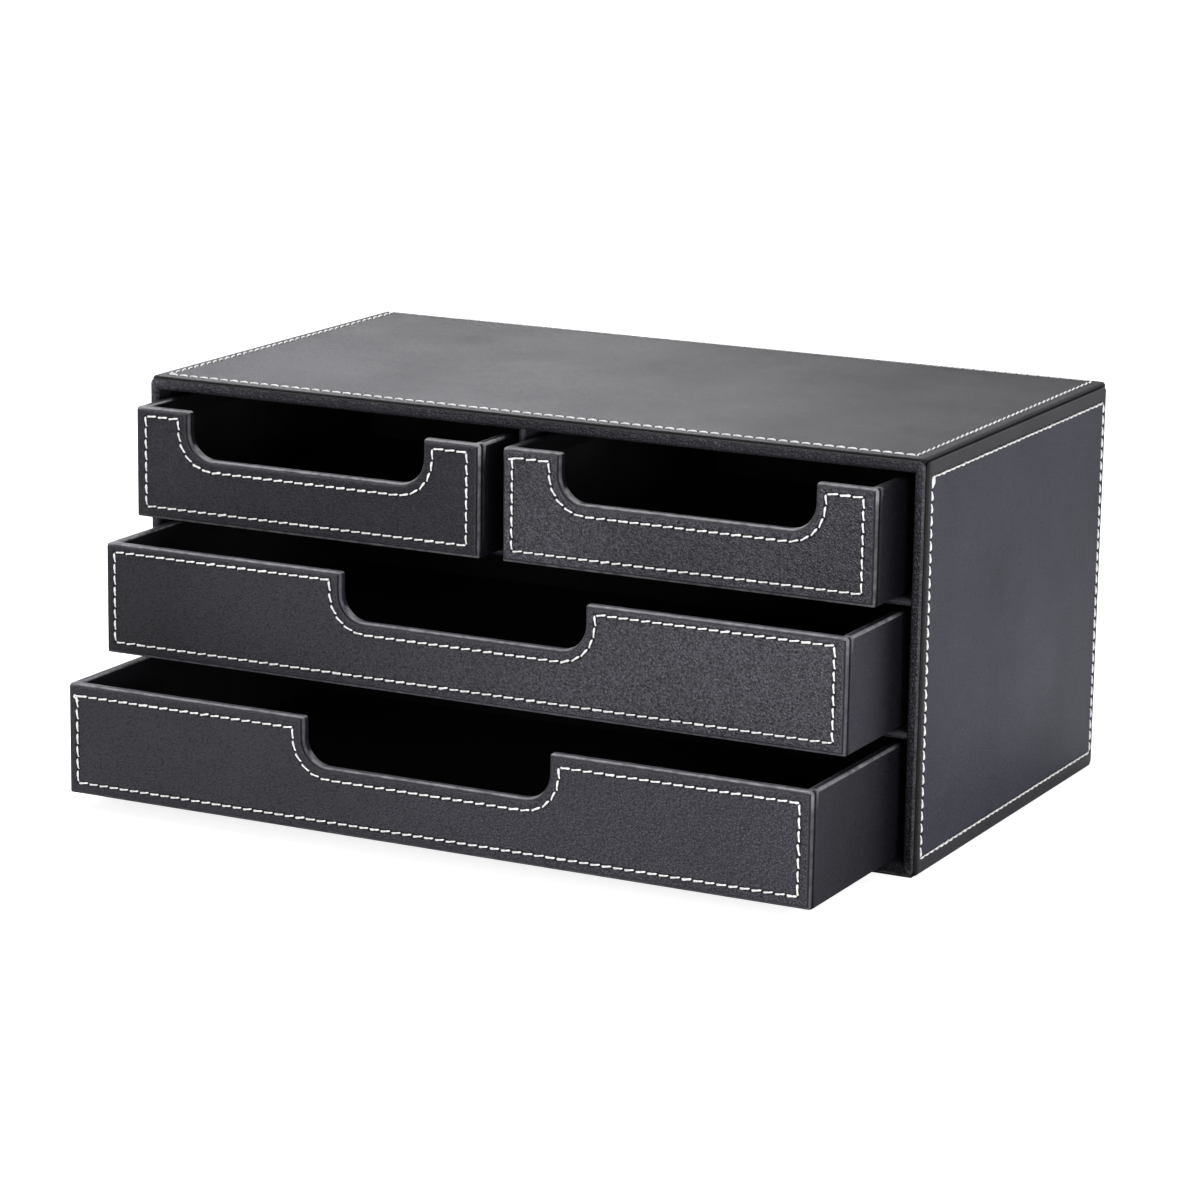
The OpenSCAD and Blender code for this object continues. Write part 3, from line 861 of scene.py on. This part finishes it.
def feltMaterial():
    look = feltLook
    material, tree, shader = newMaterial("baseFelt")
    fibres = addNoise(tree, look["fibres"], 7, {"Distortion": 1.5})
    colour = addMix(tree, addRange(tree, fibres, 0.35, 0.65), look["dark"], look["light"])
    roughness = addRange(tree, fibres, 0.3, 0.7, *look["roughness"])
    finishShader(tree, shader, colour, roughness, look["specular"], (fibres, *look["bump"]))
    return material


makeCamera()
makeStage()
leatherGrainGroup()
seamWearAndLightGroup()
wrapWearAndLightGroup()

# the strength and depth of the grain
frontGrain, coverGrain, wrapGrain = (1.0, 0.15), (0.5, 0.1), (0.5, 0.08)
# painted light and shade: each front's tone, its fade across X and how its flecks grow towards
# the right follow how light falls on the fronts, as lit and shaded copies of one leather
frontLeather = {
    "top_left": leatherMaterial("topLeftLeather", frontGrain, tone=0.6, flecks=0.7, seam=3.6,
                                hem=0.9),
    "top_right": leatherMaterial("topRightLeather", frontGrain, tone=1.5, blue=0.95, flecks=1.0,
                                 fades=(("X", 0.05, 0.14, 1.12, 0.9),), seam=3.6, hem=1.1),
    "middle": leatherMaterial("middleLeather", frontGrain, blue=0.95,
                              flecks=("X", -0.08, 0.05, 0.2, 1.0),
                              fades=(("X", -0.13, 0.08, 0.75, 2.05),), seam=3.6, hem=0.9),
    "bottom": leatherMaterial("bottomLeather", frontGrain, flecks=("X", -0.08, 0.06, 0.15, 1.0),
                              fades=(("X", -0.13, 0.13, 0.96, 1.27),), seam=3.6, hem=0.9),
}
# painted light and shade: the top darkens towards its right and its rear
topLeather = leatherMaterial("topLeather", (0.9, 0.15), green=0.93, blue=1.08, specular=0.17,
                             flecks=0.4, fades=(("X", -0.14, 0.14, 0.98, 0.7),
                                                ("Y", -0.08, 0.09, 1.02, 0.7)),
                             seam=5, hem=0.9)
# painted shade where the side covers meet the binding
shadeBesideBinding = ("Y", -0.091, -0.0875, 0.2, 1.0)    # the side covers darken at their front edge
sideLeather = leatherMaterial("sideLeather", coverGrain, blue=1.35, fades=(shadeBesideBinding,),
                              seam=5, hem=0.85)
leftLeather = leatherMaterial("leftLeather", coverGrain, blue=1.1, fades=(shadeBesideBinding,),
                              seam=5, hem=0.9)
backLeather = leatherMaterial("backLeather", coverGrain)
# painted light and shade: the binding is lighter at the left and darker towards the bottom
bindingLeather = leatherMaterial("bindingLeather", (1.0, 0.3), tone=0.65, flecks=0.6,
                                 fades=(("X", -0.165, -0.1, 2.6, 1.0),
                                        ("Z", 0.01, 0.1, 0.4, 1.25)), rubAndHighlightAmount=0.2,
                                 scales={"Cells": 650.0, "Flecks": 900.0})
# each drawer's wrap: its painted light and shade along Y, lighter at its front and darker
# towards the case, how much rubbed wear and painted highlight its rims get, and where along Y
# that ends in the case's shade
drawerShadeAndWear = {"top_left": ((-0.12, -0.1, 0.45, 0.3), 1.6, (-0.106, -0.097)),
              "top_right": ((-0.12, -0.1, 0.42, 0.28), 1.5, (-0.1165, -0.112)),
              "middle": ((-0.14, -0.1, 1.4, 0.5), 1.0, (-0.1, -0.09)),
              "bottom": ((-0.16, -0.1, 0.88, 0.5), 1.0, (-0.1, -0.09))}
wrapLeather = {name: leatherMaterial(name + "_wrapLeather", wrapGrain, tone=0.6, blue=1.2,
                                     specular=0.22, flecks=0.2, fades=(("Y", *fade),),
                                     rubAndHighlightAmount=rubAndHighlightAmount, rubAndHighlightFade=("Y", *ends, 1.0, 0.0))
               for name, (fade, rubAndHighlightAmount, ends) in drawerShadeAndWear.items()}
shelfLeather = leatherMaterial("shelfLeather", wrapGrain, tone=0.8)
flock = flockMaterial()
thread = threadMaterial()
fibreboard = boardMaterial()
felt = feltMaterial()
print("camera, stage and materials made")


def finishPiece(piece, body, material, slotName, *nodesReplaced):
    piece.data.materials.clear()
    piece.data.materials.append(material)
    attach(piece, body)
    if nodesReplaced:
        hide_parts(*nodesReplaced)


# ---- case covers and drawer fronts with their seams

stitch = makeStitch()
channelLevel = 0.66
# how far each seam lies from the panel's sides as one looks at it; rounded sides turn over
# the case's rounded edges; backStitch: where more stitches start and end, from the seam's
# upper left corner
caseSeams = {
    "top_cover": {"base": 5, "left": 4.9, "right": 5.3, "low": 5.5, "top": 2.5,
                  "rounded": ("left", "right", "top")},
    "right_cover": {"base": 5, "left": 6.3, "right": 3.9, "low": 6.0, "top": 6.3,
                    "rounded": ("right",),
                    "backStitch": (((0.2, -3.6), (2.6, -0.2)), ((-0.9, -2.2), (2.2, 0.5)))},
    "left_cover": {"base": 5, "left": 3.9, "right": 6.3, "low": 6.0, "top": 6.3,
                   "rounded": ("left",)},
}
frontStep = 0.9     # from the edge of a drawer's front to its panel
frontSeams = {
    "top_left": {"base": 3.6, "left": 4.2, "right": 4.3, "low": 3.6, "top": 2.4},
    "top_right": {"base": 3.6, "left": 3.6, "right": 4.3, "low": 3.6, "top": 2.6,
                  "backStitch": (((-2.2, -0.6), (1.6, -0.3)),)},
    "middle": {"base": 3.6, "left": 3.6, "right": 4.0, "low": 3.6, "top": 2.3},
    "bottom": {"base": 3.6, "left": 3.6, "right": 4.0, "low": 3.6, "top": 3.6,
               "backStitch": (((-2.0, 0.3), (1.8, -0.4)), ((-1.8, 0.4), (0.6, -2.6)))},
}


def placedPanel(node, body, size, seams, turn, face, material, notch=None):
    # size is (width, height) as the panel lies flat; face tells which way it points
    piece, spots = stitchedPanel(node + "_leather", *size, seams, notch)
    smoothShade(piece)
    corner = Vector((-size[0] / 2 + seams["left"], size[1] / 2 - seams["top"]))
    spots += [(corner + Vector(a), corner + Vector(b)) for a, b in seams.get("backStitch", ())]
    seam = sewSeam(node + "_seam", stitch, spots, channelLevel)
    low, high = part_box(node)
    centre = (low + high) / 2
    place = Vector(centre)
    axis = max(range(3), key=lambda i: abs(face[i]))
    place[axis] = (low if face[axis] > 0 else high)[axis]
    for made in (piece, seam):
        putInPlace(made, place, turn)
    finishPiece(piece, body, material, "leather_panel", node)
    finishPiece(seam, body, thread, "leather_panel")


def sizeOf(node, across, up):
    low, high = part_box(node)
    return (high[across] - low[across]) / mm, (high[up] - low[up]) / mm


placedPanel("top_cover", "case", sizeOf("top_cover", 0, 1), caseSeams["top_cover"],
            (0, 0, 0), (0, 0, 1), topLeather)
placedPanel("right_cover", "case", sizeOf("right_cover", 1, 2), caseSeams["right_cover"],
            (90, 0, 90), (1, 0, 0), sideLeather)
placedPanel("left_cover", "case", sizeOf("left_cover", 1, 2), caseSeams["left_cover"],
            (90, 0, -90), (-1, 0, 0), leftLeather)
print("case covers sewn")

for name in drawerNames:
    node = name + "_front_panel"
    placedPanel(node, name + "_drawer", sizeOf(node, 0, 2), frontSeams[name],
                (90, 0, 0), (0, -1, 0), frontLeather[name], grownNotch(frontStep))
print("drawer fronts sewn")
bpy.data.objects.remove(stitch)


# ---- leather turned over the drawer boxes

# the crease's dark reach is painted shade; side folds and corners get rubbed wear with a
# painted highlight, and flat tops a painted highlight
wrapShape = {"wall": 4.2, "turnIn": 7.7, "foldIn": 5.7, "round": 1.25, "leather": 0.7,
             "crease": 1.75, "creaseDeep": 0.35, "creaseHalf": 0.3, "creaseShade": 0.55,
             "ripple": 0.16, "rippleSize": 9, "steps": (5, 9, 5),
             "sideFoldWearAndHighlight": 0.3, "flatTopHighlight": 0.3, "cornerWearAndHighlight": 0.9, "cornerReach": 3}


def ripple(piece, strength, size):
    # the slight unevenness of leather pulled by hand over a board
    clouds = bpy.data.textures.new(piece.name, "CLOUDS")
    clouds.noise_scale = size * mm
    applyModifier(piece, "DISPLACE", texture=clouds, texture_coords="LOCAL",
                  strength=strength * mm, mid_level=0.5)


def gridCut(piece, steps):
    # cuts the whole piece across by planes, steps apart along x, y and z
    mesh = bmesh.from_edit_mesh(piece.data)
    for axis, step in enumerate(steps):
        if not step:
            continue
        spots = [v.co[axis] / mm for v in mesh.verts]
        first, last = min(spots), max(spots)
        count = round((last - first) / step)
        for i in range(1, count):
            spot = first + (last - first) * i / count
            selectAll()
            cutAt([spot * (k == axis) for k in range(3)], [float(k == axis) for k in range(3)],
                  miss=0.03)


def markWear(piece, wearAndLightOf, deepShadeOf):
    # writes down how much rubbed wear and painted highlight, and how much painted shade, each
    # point of a wrap gets; both rules get the place in millimetres and the way the surface
    # faces there
    for label, rule in (("wearAndLight", wearAndLightOf), ("deepShade", deepShadeOf)):
        values = piece.data.attributes.new(label, "FLOAT", "POINT").data
        for vert in piece.data.vertices:
            values[vert.index].value = rule(vert.co / mm, vert.normal)


def drawerWrap(node, body, material):
    # lies with its front up: x across, y up the drawer, -z towards its rear
    shape = wrapShape
    low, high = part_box(node)
    width, depth, height = (high - low) / mm
    side, top, wall = width / 2, height / 2, shape["wall"]
    piece = cutOutline(node + "_leather", width, height, notchShape)
    bpy.ops.mesh.select_mode(type="FACE")
    selectAll()
    extrudeFaces(0, 0, -wall)
    bpy.ops.mesh.inset(thickness=shape["foldIn"] * mm)
    bpy.ops.mesh.delete(type="FACE")
    pick(piece, "FACE", lambda f, m: near(m.y, -top)
         or (near(m.z, -wall) and m.y < -top + shape["foldIn"]))
    bpy.ops.mesh.delete(type="FACE")
    for x in (-side + wall, side - wall):
        pick(piece, "FACE", lambda f, m: near(m.z, -wall) or near(m.y, top))
        cutAt((x, 0, 0), (1, 0, 0))
    pick(piece, "FACE", lambda f, m: near(m.z, -wall) and abs(m.x) > side - shape["foldIn"])
    cutAt((0, top - shape["turnIn"], 0), (0, 1, 0))
    pick(piece, "FACE", lambda f, m: near(m.z, -wall) and abs(m.x) > side - wall)
    bpy.ops.mesh.delete(type="FACE")

    def atWallStart(edge, m):
        if not all(near(v.co.z / mm, -wall) for v in edge.verts):
            return False
        return (near(abs(m.x), side) or (near(m.y, top) and abs(m.x) > side - wall)
                or (near(abs(m.x), side - wall) and m.y > top - shape["turnIn"]))

    pick(piece, "EDGE", atWallStart)
    extrudeEdges(0, 0, 2 * wall - depth)
    pick(piece, "VERT", lambda v, m: near(m.z, wall - depth) and near(abs(m.x), side))
    moveBy(0, 0, -wall)
    pick(piece, "EDGE", lambda e, m: all(v.co.z / mm < wall - depth + 0.01 for v in e.verts))
    bpy.ops.mesh.bridge_edge_loops()
    mergeDoubles(0.01)
    frontFacesUp(piece)
    pick(piece, "EDGE", lambda e, m: len(e.link_faces) == 2 and e.is_convex
         and e.calc_face_angle() > 1)
    bpy.ops.mesh.bevel(offset=shape["round"] * mm, segments=4, affect="EDGES",
                       clamp_overlap=False)
    gridCut(piece, shape["steps"])
    # the crease down each side where the front's leather ends on the side's
    for z in (shape["creaseHalf"], 0, -shape["creaseHalf"]):
        selectAll()
        cutAt((0, 0, z - shape["crease"]), (0, 0, 1), miss=0.03)
    for end in (-1, 1):
        pick(piece, "VERT", lambda v, m: near(m.z, -shape["crease"])
             and near(m.x, end * side, 0.3))
        moveBy(-end * shape["creaseDeep"], 0, 0)
    endEdit()
    ripple(piece, shape["ripple"], shape["rippleSize"])
    applyModifier(piece, "SOLIDIFY", thickness=shape["leather"] * mm, offset=-1)

    # a painted highlight, with rubbed wear, on folds, on faces turned up, on corners and on the
    # upper edges of the rims inside
    def rubAndHighlightAt(m, n):
        if m.z > -wall:
            reach = shape["cornerReach"]
            corner = m.y > top - reach and abs(m.x) > side - reach
            topFold = shape["flatTopHighlight"] if n.y > 0.97 else float(n.y > 0.55)
            return max(shape["sideFoldWearAndHighlight"] * (0.35 < abs(n.z) < 0.94), topFold,
                       shape["cornerWearAndHighlight"] * corner)
        return float(m.y > top - 2 and abs(n.y) > 0.35 and (abs(n.x) > 0.35 or n.z < -0.35))

    # painted shade in the crease down each side and on the leather turned in inside the box
    def deepShadeAt(m, n):
        if abs(m.x) > side - 1 and near(m.z, -shape["crease"], shape["creaseShade"]):
            return 1.0
        inside = abs(m.x) < side - wall + 0.8 and wall + 0.8 - depth < m.z < 0.8 - wall
        return float(inside and m.y < top - 0.5)

    markWear(piece, rubAndHighlightAt, deepShadeAt)
    smoothShade(piece)
    centre = (low + high) / 2
    putInPlace(piece, (centre.x, low.y, centre.z), (90, 0, 0))
    finishPiece(piece, body, material, "leather_wrap", node)


for name in drawerNames:
    drawerWrap(name + "_wrap", name + "_drawer", wrapLeather[name])
print("drawer boxes wrapped")


# ---- leather bound over the front edges of the case, mitred at its corners

# the inner shade is painted shade on the binding's inner side; the mitres' rub reach is rubbed
# wear with a painted highlight
bindingShape = {"lip": 1.1, "topLip": 0.6, "tuckBack": 0.7, "tuckIn": 0.32,
                "outerRound": 0.9, "topRound": 0.35, "innerRound": 1.3, "leather": 0.7,
                "mitreGap": 0.06, "mitreRidge": 0.14, "ridgeWidth": 0.7, "cornerRound": 2.0,
                "cornerCuts": (0, 0.25, 0.6, 1.1, 1.6), "cornerReach": 1.2,
                "ripple": 0.2, "rippleSize": 5, "steps": (2.5, 0, 0), "innerShade": 0.65,
                "mitreRubAndHighlight": 0.5}


def roundCorner(piece, length, wall, end):
    # takes the outer corner off one end of a run before it is mitred
    r, spots = bindingShape["cornerRound"], bindingShape["cornerCuts"]
    for spot in spots[1:] + (r,):
        selectAll()
        cutAt((end * (length / 2 - spot), 0, 0), (1, 0, 0), 0.01)
    for spot in spots:
        pick(piece, "VERT", lambda v, m: near(m.x, end * (length / 2 - spot))
             and m.y > wall / 2 - bindingShape["cornerReach"])
        drop = r - math.sqrt(r * r - (r - spot) ** 2)
        moveBy(0, -drop, 0)


def bindingRun(node, length, wall, turnIn, draws, spin, corner):
    # lies with its front up and the outside of the case at +y; draws are how far the mitres
    # draw back at its two ends; corner is the middle of its outer front edge
    shape = bindingShape
    top = node == "top_binding"
    lip = shape["topLip" if top else "lip"]
    piece = startPlane(node + "_leather", length, wall)
    startEdit(piece)
    pick(piece, "EDGE", lambda e, m: near(m.y, wall / 2))
    extrudeEdges(0, 0, -lip)
    extrudeEdges(0, -shape["tuckIn"], -shape["tuckBack"])
    pick(piece, "EDGE", lambda e, m: near(m.y, -wall / 2))
    extrudeEdges(0, 0, -turnIn)
    frontFacesUp(piece)
    for y, size in ((wall / 2, shape["topRound" if top else "outerRound"]),
                    (-wall / 2, shape["innerRound"])):
        pick(piece, "EDGE", lambda e, m: near(m.y, y) and near(m.z, 0) and runsAlong(e, 0))
        bpy.ops.mesh.bevel(offset=size * mm, segments=5, affect="EDGES")
    for end in (-1, 1):
        roundCorner(piece, length, wall, end)
    for end, draw in zip((-1, 1), draws):
        for back in (0, shape["ridgeWidth"]):
            selectAll()
            cutAt((end * (length / 2 - shape["mitreGap"] - back), wall / 2, 0),
                  (end * wall, -draw, 0), 0.01, clearOuter=not back)
    # the leather is gathered to a slight ridge along each mitre
    pick(piece, "VERT", lambda v, m: near(m.z, 0, 0.3) and v.is_boundary)
    moveBy(0, 0, shape["mitreRidge"])
    gridCut(piece, shape["steps"])
    endEdit()
    ripple(piece, shape["ripple"], shape["rippleSize"])
    applyModifier(piece, "SOLIDIFY", thickness=shape["leather"] * mm, offset=-1)

    # painted shade on the tuck behind the lip, towards the inner side and on the inner leg
    def deepShade(m, n):
        if m.y > wall / 2 - 1.5 and m.z < -lip - 0.05:
            return 1.0
        if m.z > -0.8:
            return shape["innerShade"] * min(max(0.25 - m.y / wall, 0) * 2, 1)
        return 1.0 if m.y < 0 else 0.0

    # a painted highlight on the outer rounded edge, and rubbed wear with a painted highlight
    # along each mitre
    def rubAndHighlight(m, n):
        if m.y > 0 and n.y > 0.3 and n.z > 0.3:
            return 1.0
        away = min(abs((end * m.x - length / 2) * wall - (m.y - wall / 2) * draw)
                   for end, draw in zip((-1, 1), draws)) / math.hypot(wall, max(draws))
        return float(away < shape["mitreRubAndHighlight"] and m.y > -wall / 4 and n.z > 0.3)

    markWear(piece, rubAndHighlight, deepShade)
    smoothShade(piece)
    putInPlace(piece, (0, -wall / 2 * mm, 0))
    putInPlace(piece, (0, 0, 0), (0, 0, spin))
    putInPlace(piece, corner, (90, 0, 0))
    finishPiece(piece, "case", bindingLeather, "leather_wrap", node)


def bindCase():
    low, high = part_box("left_binding")[0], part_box("right_binding")[1]
    width, turnIn, height = ((b - a) / mm for a, b in zip(low, high))
    side = sizeOf("left_binding", 0, 2)[0]
    top, bottom = sizeOf("top_binding", 0, 2)[1], sizeOf("bottom_binding", 0, 2)[1]
    middleX, middleZ = (low.x + high.x) / 2, (low.z + high.z) / 2
    bindingRun("top_binding", width, top, turnIn, (side, side), 0, (middleX, low.y, high.z))
    bindingRun("bottom_binding", width, bottom, turnIn, (side, side), 180,
               (middleX, low.y, low.z))
    bindingRun("left_binding", height, side, turnIn, (bottom, top), 90, (low.x, low.y, middleZ))
    bindingRun("right_binding", height, side, turnIn, (top, bottom), -90,
               (high.x, low.y, middleZ))


bindCase()
print("case edges bound")


# ---- carried-over nodes

nodeLooks = {"_board": fibreboard, "_side": fibreboard, "rear_wall": fibreboard,
             "shelf": fibreboard, "divider": fibreboard, "_lining": flock,
             "_wrap": shelfLeather, "back_cover": backLeather, "felt": felt,
             "base_sheet": felt}


def lookFor(node):
    # the longest ending that fits
    return nodeLooks[max((ending for ending in nodeLooks if node.endswith(ending)), key=len)]


for node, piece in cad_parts.items():
    if piece.hide_render:
        continue
    piece.data.materials.clear()
    piece.data.materials.append(lookFor(node))
print("carried-over nodes dressed")
